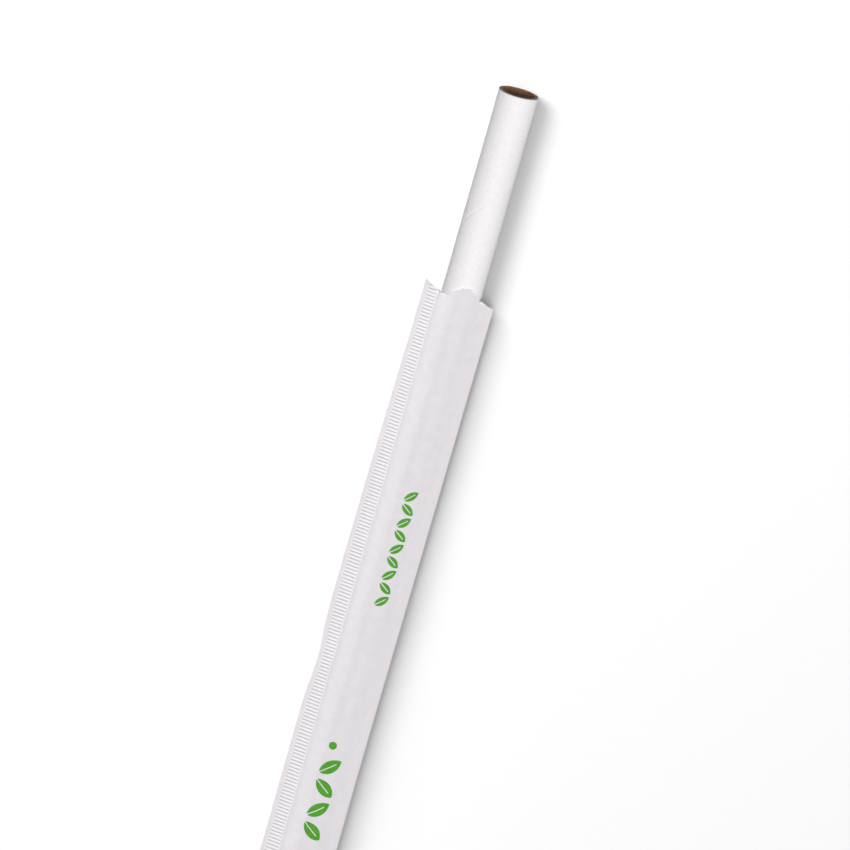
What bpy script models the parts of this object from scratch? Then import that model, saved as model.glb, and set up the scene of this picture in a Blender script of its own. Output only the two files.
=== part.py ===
"""A paper drinking straw in its torn paper wrapper, lying as it comes to rest.

Metres, +Z up, the table at z = 0. The straw runs along Y with its open end at +Y, and the
wrapper's closed end is at -Y. The origin is the middle of the part's footprint.

The straw is a paper tube, wound from strips whose edges leave one spiral seam. The wrapper is
one thin sheet: it folds over along +X, its two edges are crimped together along -X, and both
layers are crimped flat across its closed end. Its other end is torn, so the straw sticks out.
"""

import math

import bmesh
import bpy

# The straw
STRAW_DIAMETER = 0.0060
STRAW_WALL = 0.00045
STRAW_LENGTH = 0.1970
STRAW_SIDES = 32
SEAM_PITCH = 0.0209  # how far the spiral seam climbs in one turn
SEAM_WIDTH = 0.00028
SEAM_DEPTH = 0.00006
SEAM_CROSSING = 0.0172  # from the open end to where the seam first crosses the top

# The wrapper's sheet, and how it lies round the straw
PAPER = 0.00008
SEAT_GAP = 0.00027  # between the straw and the paper, all the way round
FIN_RISE = 0.00055  # height of the crimped edge and of the fold above the table
KEEL_LEFT = 0.00135  # where the lower layer rises from the table to the crimped edge
KEEL_RIGHT = 0.0023  # and to the fold
FOLD_WIDTH_TEAR = 0.00185  # from the sheet's side to the fold, at the tear
FOLD_WIDTH = 0.00143  # and from FOLD_DRIFT_LENGTH below the tear
FOLD_DRIFT_LENGTH = 0.0750
CREASE_INSET = 0.0002  # from the fold's outer edge to the hollow inside it

# The crimped edge, measured from the foot where the upper layer turns up. The ridges run
# from beside the cut edges to the foot.
FIN_WIDTH_TEAR = 0.00223  # at the tear
FIN_WIDTH = 0.00270  # and from FIN_WIDEN_LENGTH below the tear
FIN_WIDEN_LENGTH = 0.0450
DENT_DEPTH = 0.00042  # a shallow dent in the cut edges
DENT_BELOW_TEAR = 0.0621
DENT_HALF_LENGTH = 0.0045
CRIMP_PITCH = 0.00052
CRIMP_HEIGHT = 0.00012
CRIMP_WIDTH = 0.00145
CRIMP_FADE = 0.00010  # how far a ridge takes to die out
JOIN_LAP = 0.00004  # how far the crimped edge reaches into the sheet's wall
JOIN_STEP = 0.00002  # how much thinner than the crimped paper an end inside it is

# The closed end and the torn end
COLLAPSE_LENGTH = 0.0090  # where the sheet sinks from the straw's height to flat
SEAL_LENGTH = 0.0052
SEAL_MARGIN = 0.00045  # plain paper round the ridges that cross the closed end
CLOSED_SLOT = 0.00004  # what is left of the hollow where it ends
BARE_LENGTH = 0.0299  # straw that shows above the highest point of the tear
SPARE = 0.0015  # how far each cutter runs on past what it cuts
MERGE = 0.0000001  # points nearer than this are one

# The torn edge from the crimped side to the fold: across from the straw's axis, and down
# from the highest point of the tear
TEAR = (
    (-0.00640, 0.00090),
    (-0.00570, 0.00165),
    (-0.00510, 0.00220),
    (-0.00435, 0.00258),
    (-0.00360, 0.00300),
    (-0.00315, 0.00318),
    (-0.00270, 0.00242),
    (-0.00222, 0.00222),
    (-0.00180, 0.00178),
    (-0.00167, 0.00123),
    (-0.00148, 0.00098),
    (-0.00105, 0.00076),
    (-0.00037, 0.00066),
    (-0.00014, 0.00030),
    (0.00000, 0.00002),
    (0.00022, 0.00022),
    (0.00055, 0.00000),
    (0.00098, 0.00005),
    (0.00170, 0.00060),
    (0.00230, 0.00118),
    (0.00289, 0.00184),
    (0.00306, 0.00222),
    (0.00352, 0.00232),
    (0.00378, 0.00272),
    (0.00410, 0.00306),
    (0.00455, 0.00330),
    (0.00520, 0.00334),
    (0.00600, 0.00325),
)

# How finely the curved stretches are stepped
HUG_STEPS = 12
KEEL_STEPS = 3
COLLAPSE_STEPS = 5

# Worked out from the sizes above
STRAW_RADIUS = STRAW_DIAMETER / 2
HUG_RADIUS = STRAW_RADIUS + SEAT_GAP + PAPER
AXIS_HEIGHT = PAPER + SEAT_GAP + STRAW_RADIUS
FIN_MIDDLE = FIN_RISE + PAPER
FIN_TOP = FIN_RISE + 2 * PAPER
FOOT_REACH = HUG_RADIUS
FOLD_REACH = HUG_RADIUS + FOLD_WIDTH
TAIL_LENGTH = SEAT_GAP + COLLAPSE_LENGTH + SEAL_LENGTH
LENGTH = STRAW_LENGTH + TAIL_LENGTH
MOUTH_Y = LENGTH / 2
STRAW_END_Y = MOUTH_Y - STRAW_LENGTH
TEAR_Y = MOUTH_Y - BARE_LENGTH
END_Y = -LENGTH / 2
SEAL_Y = END_Y + SEAL_LENGTH
COLLAPSE_Y = SEAL_Y + COLLAPSE_LENGTH
RIDGES_Y = SEAL_Y - SEAL_MARGIN  # where the ridges that cross the closed end begin


def clear_scene():
    for thing in list(bpy.data.objects):
        bpy.data.objects.remove(thing, do_unlink=True)


def make_collection(name):
    collection = bpy.data.collections.new(name)
    bpy.context.scene.collection.children.link(collection)
    return collection


def make_material(name, colour, roughness):
    material = bpy.data.materials.new(name)
    material.use_nodes = True
    shader = material.node_tree.nodes["Principled BSDF"]
    shader.inputs["Base Color"].default_value = (*colour, 1.0)
    shader.inputs["Roughness"].default_value = roughness
    shader.inputs["Metallic"].default_value = 0.0
    return material


def add_object(name, mesh, collection):
    thing = bpy.data.objects.new(name, mesh)
    collection.objects.link(thing)
    return thing


def as_cutter(thing):
    thing.hide_render = True
    thing.display_type = "WIRE"
    return thing


def add_boolean(thing, operation, other):
    modifier = thing.modifiers.new(other.name, "BOOLEAN")
    modifier.operation = operation
    modifier.solver = "EXACT"
    modifier.object = other


def finish(thing, material, sharp_angle):
    thing.data.materials.append(material)
    thing.data.shade_smooth()
    thing.data.set_sharp_from_angle(angle=math.radians(sharp_angle))


def loft(name, sections, collection, quad_split="BEAUTY"):
    """One closed body through sections that have the same number of points."""
    shape = bmesh.new()
    rings = [[shape.verts.new(point) for point in section] for section in sections]
    count = len(rings[0])
    for ring, following in zip(rings, rings[1:]):
        for i in range(count):
            j = (i + 1) % count
            shape.faces.new((ring[i], ring[j], following[j], following[i]))
    shape.faces.new(rings[0])
    shape.faces.new(rings[-1])
    bmesh.ops.recalc_face_normals(shape, faces=shape.faces)
    bmesh.ops.triangulate(shape, faces=shape.faces, quad_method=quad_split)
    mesh = bpy.data.meshes.new(name)
    shape.to_mesh(mesh)
    shape.free()
    return add_object(name, mesh, collection)


def extrude_outline(name, points, low, high, collection):
    """A flat outline as a filled curve, extruded from low to high and made a mesh."""
    curve = bpy.data.curves.new(name, "CURVE")
    curve.dimensions = "2D"
    curve.fill_mode = "BOTH"
    curve.extrude = (high - low) / 2
    spline = curve.splines.new("POLY")
    spline.points.add(len(points) - 1)
    for point, (first, second) in zip(spline.points, points):
        point.co = (first, second, 0.0, 1.0)
    spline.use_cyclic_u = True
    outline = bpy.data.objects.new(name + "_outline", curve)
    collection.objects.link(outline)
    bpy.context.view_layer.update()
    graph = bpy.context.evaluated_depsgraph_get()
    mesh = bpy.data.meshes.new_from_object(outline.evaluated_get(graph))
    bpy.data.objects.remove(outline, do_unlink=True)
    shape = bmesh.new()
    shape.from_mesh(mesh)
    bmesh.ops.remove_doubles(shape, verts=shape.verts, dist=MERGE)
    bmesh.ops.recalc_face_normals(shape, faces=shape.faces)
    for vertex in shape.verts:
        vertex.co.z += (low + high) / 2
    shape.to_mesh(mesh)
    shape.free()
    return add_object(name, mesh, collection)


def ease(share):
    """From 0 to 1, level at both ends."""
    share = min(max(share, 0.0), 1.0)
    return share * share * (3 - 2 * share)


def fullness(y):
    """1 where the sheet stands over the straw, 0 where it lies flat at the closed end."""
    return ease((y - SEAL_Y) / COLLAPSE_LENGTH)


def fold_reach(y):
    """From the straw's axis to the fold. The wrapper lies a little askew on the straw."""
    share = min(max((TEAR_Y - y) / FOLD_DRIFT_LENGTH, 0.0), 1.0)
    return HUG_RADIUS + FOLD_WIDTH_TEAR + (FOLD_WIDTH - FOLD_WIDTH_TEAR) * share


def upper_path(reach):
    """The upper layer's outer face in section, from the crimped edge over the straw to the fold."""
    path = [(-FOOT_REACH, FIN_TOP - JOIN_STEP)]
    drop = AXIS_HEIGHT - FIN_MIDDLE
    leave = math.acos(HUG_RADIUS / math.hypot(reach, drop)) - math.atan2(drop, reach)
    for step in range(HUG_STEPS + 1):
        angle = math.pi + (leave - math.pi) * step / HUG_STEPS
        x = HUG_RADIUS * math.cos(angle)
        path.append((x, AXIS_HEIGHT + HUG_RADIUS * math.sin(angle)))
    path.append((reach, FIN_MIDDLE))
    return path


def lower_path(reach):
    """The lower layer's outer face, from the fold under the straw to the crimped edge."""
    path = []
    for step in range(1, KEEL_STEPS + 1):
        share = step / KEEL_STEPS
        path.append((reach - KEEL_RIGHT * share, FIN_RISE * (1 - share) ** 2))
    for step in range(KEEL_STEPS + 1):
        share = step / KEEL_STEPS
        rise = (FIN_RISE - JOIN_STEP) * ease(share)
        path.append((KEEL_LEFT * (1 - share) - FOOT_REACH, rise))
    return path


def run_lengths(path):
    lengths = [0.0]
    for start, end in zip(path, path[1:]):
        lengths.append(lengths[-1] + math.dist(start, end))
    return lengths


def paper_width(reach):
    """Paper doesn't stretch, so it lies flat as wide as half the way round its section."""
    upper, lower = upper_path(reach), lower_path(reach)
    return run_lengths(upper + lower)[-1] / 2


FLAT_WIDTH = paper_width(FOLD_REACH)
FIN_SPREAD = (FLAT_WIDTH - FOLD_REACH - FOOT_REACH) / 2  # how far each edge moves out
FLAT_FOOT = -FOOT_REACH - FIN_SPREAD
FLAT_FOLD = FOLD_REACH + FIN_SPREAD
AXIS_X = (FOOT_REACH + FIN_WIDTH - FOLD_REACH) / 2  # centres the closed end on x = 0


def fin_shift(y):
    """How far the crimped edge has moved out at y as the sheet sinks flat."""
    return FIN_SPREAD * (1 - fullness(y))


def fin_edge(y):
    """Where the sheet's cut edges are at y, across from the straw's axis."""
    down = TEAR_Y - y
    width = FIN_WIDTH_TEAR + (FIN_WIDTH - FIN_WIDTH_TEAR) * ease(down / FIN_WIDEN_LENGTH)
    dent = DENT_DEPTH * math.exp(-(((down - DENT_BELOW_TEAR) / DENT_HALF_LENGTH) ** 2))
    return dent - width - FOOT_REACH - fin_shift(y)


def flattened(path, start, end, height):
    """The path's points laid out flat, each at its own share of the way from start to end."""
    lengths = run_lengths(path)
    return [(start + (end - start) * length / lengths[-1], height) for length in lengths]


def between(flat, full, share):
    return [
        (a[0] + (b[0] - a[0]) * share, a[1] + (b[1] - a[1]) * share)
        for a, b in zip(flat, full)
    ]


def sheet_faces(y):
    """Both layers' outer faces at y, sunk towards flat near the closed end."""
    reach = fold_reach(y)
    upper, lower = upper_path(reach), lower_path(reach)
    flat_upper = flattened(upper, FLAT_FOOT, FLAT_FOLD, FIN_TOP)
    flat_upper[0] = (FLAT_FOOT, FIN_TOP - JOIN_STEP)
    flat_upper[-1] = (FLAT_FOLD, FIN_MIDDLE)
    flat_lower = flattened([upper[-1]] + lower, FLAT_FOLD, FLAT_FOOT, FIN_RISE)[1:]
    flat_lower[-1] = (FLAT_FOOT, FIN_RISE + JOIN_STEP)
    share = fullness(y)
    return between(flat_upper, upper, share), between(flat_lower, lower, share)


def inset(path, distance):
    """The path's inner points moved to its right by a wall's thickness, corners mitred."""
    moved = []
    for before, here, after in zip(path, path[1:], path[2:]):
        normals = []
        for start, end in ((before, here), (here, after)):
            run = math.dist(start, end)
            normals.append(((end[1] - start[1]) / run, (start[0] - end[0]) / run))
        x = normals[0][0] + normals[1][0]
        z = normals[0][1] + normals[1][1]
        scale = 2 * distance / (x * x + z * z)
        moved.append((here[0] + x * scale, here[1] + z * scale))
    return moved


def place(points, y):
    return [(AXIS_X + x, y, z) for x, z in points]


def outer_section(y):
    """The sheet's outline at y, without its crimped edge."""
    upper, lower = sheet_faces(y)
    return place(upper + lower, y)


def tucked_section(y):
    """The sheet's last outline, thinner and narrower, inside the crimped closed end."""
    thinner = (PAPER - JOIN_STEP) / PAPER
    fold = AXIS_X + FLAT_FOLD - JOIN_STEP
    return [
        (min(x, fold), y, FIN_MIDDLE + (z - FIN_MIDDLE) * thinner)
        for x, y, z in outer_section(y)
    ]


def hollow_section(y):
    """The space between the layers at y, a wall's thickness inside their outer faces."""
    upper, lower = sheet_faces(y)
    lowest = FIN_MIDDLE + CLOSED_SLOT / 2
    highest = FIN_MIDDLE - CLOSED_SLOT / 2
    above = [(x, max(z, lowest)) for x, z in inset([lower[-1]] + upper, PAPER)]
    crease = (upper[-1][0] - CREASE_INSET, FIN_MIDDLE)
    below = inset([upper[-1]] + lower + [upper[0]], PAPER)
    return place(above + [crease] + [(x, min(z, highest)) for x, z in below], y)


def station_list(first):
    """Where the wrapper's sections stand, from the torn end down to the seal."""
    stations = [first, TEAR_Y, TEAR_Y - FOLD_DRIFT_LENGTH]
    for step in range(COLLAPSE_STEPS + 1):
        stations.append(COLLAPSE_Y - COLLAPSE_LENGTH * step / COLLAPSE_STEPS)
    return stations


def crimp_row(y, lift):
    """The crimped layers' outline at y, where the ridges stand this high.

    Down the edge the ridges run into the foot. In the closed end they cross to the fold.
    """
    foot = -FOOT_REACH - fin_shift(y)
    first = foot - CRIMP_WIDTH
    if y > RIDGES_Y + MERGE:
        last, inner = foot, foot + JOIN_LAP
        end_lift, end_rise = lift, FIN_RISE + JOIN_STEP
    else:
        last, inner = FLAT_FOLD - SEAL_MARGIN, FLAT_FOLD
        end_lift, end_rise = 0.0, FIN_RISE
    return place(
        [
            (fin_edge(y), FIN_RISE),
            (fin_edge(y), FIN_TOP),
            (first - CRIMP_FADE, FIN_TOP),
            (first, FIN_TOP + lift),
            (last, FIN_TOP + lift),
            (inner, FIN_TOP + end_lift),
            (inner, end_rise),
        ],
        y,
    )


def crimp_rows():
    """Ridge by ridge from beyond the tear down to the closed end's plain edge."""
    above = math.ceil((TEAR_Y + SPARE - RIDGES_Y) / CRIMP_PITCH)
    crossing = math.floor((SEAL_LENGTH - 2 * SEAL_MARGIN) / CRIMP_PITCH)
    rows = []
    for i in range(above, -crossing, -1):
        y = RIDGES_Y + CRIMP_PITCH * i
        rows.append(crimp_row(y, 0.0))
        rows.append(crimp_row(y - CRIMP_PITCH / 2, CRIMP_HEIGHT))
    rows.append(crimp_row(RIDGES_Y - CRIMP_PITCH * crossing, 0.0))
    rows.append(crimp_row(END_Y, 0.0))
    return rows


def make_straw(collection, cutters):
    """A straight tube with one shallow spiral groove, where the outer strip's edges meet."""
    profile = bmesh.new()
    corners = [
        profile.verts.new((STRAW_RADIUS, 0, STRAW_LENGTH)),
        profile.verts.new((STRAW_RADIUS, 0, 0)),
        profile.verts.new((STRAW_RADIUS - STRAW_WALL, 0, 0)),
        profile.verts.new((STRAW_RADIUS - STRAW_WALL, 0, STRAW_LENGTH)),
    ]
    for start, end in zip(corners, corners[1:] + corners[:1]):
        profile.edges.new((start, end))
    mesh = bpy.data.meshes.new("straw")
    profile.to_mesh(mesh)
    profile.free()
    straw = add_object("straw", mesh, collection)
    straw.location = (AXIS_X, STRAW_END_Y, AXIS_HEIGHT)
    straw.rotation_euler = (math.radians(-90), 0, 0)
    turn = straw.modifiers.new("turn", "SCREW")
    turn.axis = "Z"
    turn.angle = math.tau
    turn.steps = STRAW_SIDES
    turn.render_steps = STRAW_SIDES
    turn.use_merge_vertices = True
    turn.merge_threshold = MERGE

    # The groove is cut by a small wedge that climbs round the tube. Its corners stand over
    # the middles of the tube's sides, one side further on each time.
    crossing = STRAW_LENGTH - SEAM_CROSSING
    side_climb = SEAM_PITCH / STRAW_SIDES
    first = math.floor((-SPARE - crossing) / side_climb)
    last = math.ceil((STRAW_LENGTH + SPARE - crossing) / side_climb)
    wedge = (
        (STRAW_RADIUS + SEAM_DEPTH, SEAM_WIDTH),
        (STRAW_RADIUS - SEAM_DEPTH, 0.0),
        (STRAW_RADIUS + SEAM_DEPTH, -SEAM_WIDTH),
    )
    sections = []
    for side in range(first, last + 1):
        turned = side + 0.5
        angle = math.tau * turned / STRAW_SIDES - math.pi / 2
        z = crossing + side_climb * turned
        across, up = math.cos(angle), math.sin(angle)
        sections.append([(r * across, r * up, z + rise) for r, rise in wedge])
    seam = as_cutter(loft("spiral_seam", sections, cutters))
    seam.parent = straw
    add_boolean(straw, "DIFFERENCE", seam)
    return straw


def make_wrapper(collection, cutters):
    """One folded sheet: a loft round the straw, hollowed, joined to its crimped edge and torn."""
    stations = station_list(TEAR_Y + SPARE) + [RIDGES_Y + JOIN_LAP]
    sections = [outer_section(y) for y in stations]
    sections.append(tucked_section(RIDGES_Y - CRIMP_PITCH / 2))
    wrapper = loft("wrapper", sections, collection)
    stations = station_list(TEAR_Y + 2 * SPARE)
    hollow = as_cutter(loft("hollow", [hollow_section(y) for y in stations], cutters))
    add_boolean(wrapper, "DIFFERENCE", hollow)
    crimps = as_cutter(loft("crimps", crimp_rows(), cutters, quad_split="LONG_EDGE"))
    add_boolean(wrapper, "UNION", crimps)

    past_edge = AXIS_X - FOOT_REACH - FIN_WIDTH - FIN_SPREAD - SPARE
    past_fold = AXIS_X + FLAT_FOLD + SPARE
    past_tear = TEAR_Y + 3 * SPARE
    line = [(AXIS_X + across, TEAR_Y - down) for across, down in TEAR]
    outline = (
        [(past_edge, past_tear), (past_edge, line[0][1])]
        + line
        + [(past_fold, line[-1][1]), (past_fold, past_tear)]
    )
    top = AXIS_HEIGHT + HUG_RADIUS + SPARE
    tear = as_cutter(extrude_outline("tear", outline, -SPARE, top, cutters))
    add_boolean(wrapper, "DIFFERENCE", tear)
    return wrapper


clear_scene()
part = make_collection("wrapped_straw")
helpers = make_collection("cutters")
helpers.hide_render = True
straw_paper = make_material("straw_paper", (0.90, 0.89, 0.87), 0.80)
wrapper_paper = make_material("wrapper_paper", (0.83, 0.82, 0.84), 0.85)
finish(make_straw(part, helpers), straw_paper, 30)
finish(make_wrapper(part, helpers), wrapper_paper, 20)
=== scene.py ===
"""A paper drinking straw in its torn wrapper, lying on a white table and seen from above."""

import math

import bmesh
import bpy
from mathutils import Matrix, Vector, noise


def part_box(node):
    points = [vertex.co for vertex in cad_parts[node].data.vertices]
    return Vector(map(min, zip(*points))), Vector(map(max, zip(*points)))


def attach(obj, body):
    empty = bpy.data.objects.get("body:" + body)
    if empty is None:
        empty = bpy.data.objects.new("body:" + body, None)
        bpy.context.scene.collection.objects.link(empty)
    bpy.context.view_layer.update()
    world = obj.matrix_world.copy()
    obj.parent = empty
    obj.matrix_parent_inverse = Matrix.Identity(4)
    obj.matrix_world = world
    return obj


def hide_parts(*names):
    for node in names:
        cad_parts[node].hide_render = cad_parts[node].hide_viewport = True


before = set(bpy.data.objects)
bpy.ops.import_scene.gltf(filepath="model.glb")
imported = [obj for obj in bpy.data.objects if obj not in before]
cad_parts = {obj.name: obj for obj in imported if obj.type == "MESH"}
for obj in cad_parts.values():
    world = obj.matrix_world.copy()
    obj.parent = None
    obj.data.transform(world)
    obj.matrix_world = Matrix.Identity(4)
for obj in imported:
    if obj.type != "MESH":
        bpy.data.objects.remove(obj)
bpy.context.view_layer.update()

# The view
# A long lens above the open end, turned so that the straw leans to the right. It looks at
# a point on the straw's axis, a little below the tear.
STRAW_LOW, STRAW_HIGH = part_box("straw")
WRAP_LOW, WRAP_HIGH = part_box("wrapper")
AXIS_X = (STRAW_HIGH.x + STRAW_LOW.x) / 2
AXIS_Z = (STRAW_HIGH.z + STRAW_LOW.z) / 2
MOUTH_Y = STRAW_HIGH.y

LENS = 1000.0
SENSOR = 36.0
CLIP_START = 0.05
CLIP_END = 20.0
VIEW_WIDTH = 0.12574  # what the picture's width covers at the straw's axis
LEAN_BACK = math.radians(13.7)
ROLL = math.radians(15.9)
AIM_BELOW_MOUTH = 0.05269
AIM_BESIDE_AXIS = 0.00011

camera_data = bpy.data.cameras.new("camera")
camera_data.lens = LENS
camera_data.sensor_width = SENSOR
camera_data.clip_start = CLIP_START
camera_data.clip_end = CLIP_END
camera = bpy.data.objects.new("camera", camera_data)
bpy.context.scene.collection.objects.link(camera)
bpy.context.scene.camera = camera
sight = Vector((0.0, -math.sin(LEAN_BACK), -math.cos(LEAN_BACK)))
level = Vector((1.0, 0.0, 0.0))
upright = level.cross(sight)
rolled_up = upright * math.cos(ROLL) - level * math.sin(ROLL)
rolled_right = sight.cross(rolled_up)
target = Vector((AXIS_X + AIM_BESIDE_AXIS, MOUTH_Y - AIM_BELOW_MOUTH, AXIS_Z))
turn = camera.matrix_world.to_3x3()
for row in range(3):
    turn[row] = (rolled_right[row], rolled_up[row], -sight[row])
camera.matrix_world = turn.to_4x4()
camera.location = target - sight * (VIEW_WIDTH * LENS / SENSOR)

# The table and the lamps
# A white table in a light tent: an even sky and a soft lamp overhead. The other lamps each
# light one thing only: the straw from above, the paper from both sides, and the table from
# the left, so that a soft shadow falls to the right.
TABLE_SIZE = 6.0
TABLE_WHITE = 0.72  # as the camera sees it
TABLE_GREY = 0.5  # as it reflects light on the straw and the wrapper
SKY_STRENGTH = 0.25
LAMP_DISTANCE = 1.2
LAMP_SIZE = 0.6

bpy.context.scene.view_settings.view_transform = "Standard"
world = bpy.data.worlds.new("tent")
bpy.context.scene.world = world
world.use_nodes = True
tent = world.node_tree
tent.nodes.clear()
tent_light = tent.nodes.new("ShaderNodeBackground")
tent_light.inputs["Color"].default_value = (1.0, 1.0, 1.0, 1.0)
tent_light.inputs["Strength"].default_value = SKY_STRENGTH
tent_seen = tent.nodes.new("ShaderNodeBackground")
tent_seen.inputs["Color"].default_value = (1.0, 1.0, 1.0, 1.0)
tent_path = tent.nodes.new("ShaderNodeLightPath")
tent_mix = tent.nodes.new("ShaderNodeMixShader")
tent_out = tent.nodes.new("ShaderNodeOutputWorld")
tent.links.new(tent_path.outputs["Is Camera Ray"], tent_mix.inputs["Fac"])
tent.links.new(tent_light.outputs[0], tent_mix.inputs[1])
tent.links.new(tent_seen.outputs[0], tent_mix.inputs[2])
tent.links.new(tent_mix.outputs[0], tent_out.inputs["Surface"])

half = TABLE_SIZE / 2
table_mesh = bpy.data.meshes.new("table")
corners = [(-half, -half, 0.0), (half, -half, 0.0), (half, half, 0.0), (-half, half, 0.0)]
table_mesh.from_pydata(corners, [], [(0, 1, 2, 3)])
table = bpy.data.objects.new("table", table_mesh)
bpy.context.scene.collection.objects.link(table)
table_white = bpy.data.materials.new("table_white")
table_white.use_nodes = True
tree = table_white.node_tree
tree.nodes.clear()
table_seen = tree.nodes.new("ShaderNodeBsdfDiffuse")
table_seen.inputs["Color"].default_value = (TABLE_WHITE, TABLE_WHITE, TABLE_WHITE, 1.0)
table_lit = tree.nodes.new("ShaderNodeBsdfDiffuse")
table_lit.inputs["Color"].default_value = (TABLE_GREY, TABLE_GREY, TABLE_GREY, 1.0)
table_path = tree.nodes.new("ShaderNodeLightPath")
table_mix = tree.nodes.new("ShaderNodeMixShader")
table_out = tree.nodes.new("ShaderNodeOutputMaterial")
tree.links.new(table_path.outputs["Is Camera Ray"], table_mix.inputs["Fac"])
tree.links.new(table_lit.outputs[0], table_mix.inputs[1])
tree.links.new(table_seen.outputs[0], table_mix.inputs[2])
tree.links.new(table_mix.outputs[0], table_out.inputs["Surface"])
table_mesh.materials.append(table_white)


def add_lamp(name, elevation, azimuth, power, size=LAMP_SIZE, only_for=None, shadow_of=None):
    """A round soft lamp aimed at the view's target. Azimuth turns from +X towards +Y."""
    data = bpy.data.lights.new(name, "AREA")
    data.shape = "DISK"
    data.size = size
    data.energy = power
    lamp = bpy.data.objects.new(name, data)
    bpy.context.scene.collection.objects.link(lamp)
    up_angle, round_angle = math.radians(elevation), math.radians(azimuth)
    level_part = math.cos(up_angle)
    direction = Vector(
        (
            level_part * math.cos(round_angle),
            level_part * math.sin(round_angle),
            math.sin(up_angle),
        )
    )
    lamp.location = target + direction * LAMP_DISTANCE
    lamp.rotation_euler = direction.to_track_quat("Z", "Y").to_euler()
    lamp.light_linking.receiver_collection = only_for
    lamp.light_linking.blocker_collection = shadow_of


straw_group = bpy.data.collections.new("straw_group")
paper_group = bpy.data.collections.new("paper_group")
table_group = bpy.data.collections.new("table_group")
shadow_group = bpy.data.collections.new("shadow_group")
low_shadow_group = bpy.data.collections.new("low_shadow_group")
table_group.objects.link(table)
add_lamp("overhead", 90, 0, 4.1)
add_lamp("on_straw", 80, 0, 7.8, only_for=straw_group)
add_lamp("on_paper_left", 41, 152, 8.2, only_for=paper_group)
add_lamp("on_paper_right", 8, 10, 7.0, size=0.3, only_for=paper_group)
add_lamp("on_table", 49, 143, 15.6, size=0.75, only_for=table_group, shadow_of=shadow_group)
# The fold lies lower than the straw's side but its shadow is as wide, so the wrapper's
# shadow has a lower lamp as well.
add_lamp("on_table_low", 29, 143, 5.4, only_for=table_group, shadow_of=low_shadow_group)

# The straw
# A tube of paper strips wound in a spiral and glued. The outer strip is bleached, and its
# edges meet in one shallow seam that climbs the tube. The inner strip is brown, and the
# cut ends are coloured dark, darkest on top.
STRAW_RADIUS = (STRAW_HIGH.x - STRAW_LOW.x) / 2
STRAW_WALL = 0.00045
TAIL_Y = STRAW_LOW.y
SEAM_PITCH = 0.0209
SEAM_CROSSING = 0.0172
SEAM_DEPTH = 0.00006
SEAM_WIDTH = 0.00013
INNER_SEAM_DEPTH = 0.000012
INNER_SEAM_WIDTH = 0.00022
STRAW_SIDES = 120
# Where rows of points stand, as shares of the way from one crossing of the seam to the next
SEAM_ROWS = (0.0, 0.003, 0.006, 0.010, 0.018, 0.06, 0.16, 0.28, 0.40, 0.47, 0.485, 0.495)
# Rings of points below each cut end, outside and in the bore
END_RINGS = (0.00090, 0.00030, 0.00022, 0.00015, 0.00009)
BORE_RINGS = (0.00015, 0.0005, 0.0015, 0.004, 0.010, 0.030)
DARK_END_LENGTH = 0.00016
CORE_START = 0.4  # how far through the wall the brown strips begin
END_BACK = 0.00024  # how far the cut ends lie inside the nominal length
END_SLANT = 0.00004  # and how much further at the straw's lowest side
RIM = (  # in from the outer face, and below the end, across the three strips' edges
    (0.00001, 0.00003),
    (0.00003, 0.00000),
    (0.00013, 0.00000),
    (0.00015, 0.00003),
    (0.00017, 0.00000),
    (0.00029, 0.00000),
    (0.00031, 0.00003),
    (0.00033, 0.00000),
    (0.00042, 0.00000),
    (0.00045, 0.00003),
)
RIM_ROUGHNESS = 0.000025
RIM_BROWN = 0.8  # how brown the inner strips' edges are
RIM_TURN = 1.7  # how soon the rim turns brown on the way round from its top
BLEACHED = ((0.855, 0.828, 0.840), (0.920, 0.908, 0.914))
KRAFT = ((0.25, 0.125, 0.062), (0.50, 0.275, 0.155))
# Dark colour on the cut ends and just below them, darkest on top
DARK_END_TONES = ((0.03, 0.035, 0.05), (0.12, 0.13, 0.16))


def new_material(name, roughness, specular):
    """A material with its node tree and its main shader."""
    material = bpy.data.materials.new(name)
    material.use_nodes = True
    shader = material.node_tree.nodes["Principled BSDF"]
    shader.inputs["Roughness"].default_value = roughness
    shader.inputs["Specular IOR Level"].default_value = specular
    return material, material.node_tree, shader


def add_noise(tree, place, scale, detail=4.0, low=0.35, high=0.65, stretch=None):
    """A noise pattern on the place given, stretched and spread to run from 0 to 1."""
    pattern = tree.nodes.new("ShaderNodeTexNoise")
    pattern.inputs["Scale"].default_value = scale
    pattern.inputs["Detail"].default_value = detail
    if stretch:
        mapping = tree.nodes.new("ShaderNodeMapping")
        mapping.inputs["Scale"].default_value = stretch
        tree.links.new(place, mapping.inputs["Vector"])
        place = mapping.outputs["Vector"]
    tree.links.new(place, pattern.inputs["Vector"])
    spread = tree.nodes.new("ShaderNodeMapRange")
    spread.inputs["From Min"].default_value = low
    spread.inputs["From Max"].default_value = high
    tree.links.new(pattern.outputs["Fac"], spread.inputs["Value"])
    return spread.outputs["Result"]


def add_mix(tree, share, first, second):
    """A colour between first and second, each a colour or another node's output."""
    mix = tree.nodes.new("ShaderNodeMix")
    mix.data_type = "RGBA"
    tree.links.new(share, mix.inputs["Factor"])
    for socket, value in (("A", first), ("B", second)):
        target_socket = next(s for s in mix.inputs if s.name == socket and s.type == "RGBA")
        if isinstance(value, tuple):
            target_socket.default_value = (*value, 1.0)
        else:
            tree.links.new(value, target_socket)
    return next(s for s in mix.outputs if s.type == "RGBA")


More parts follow.
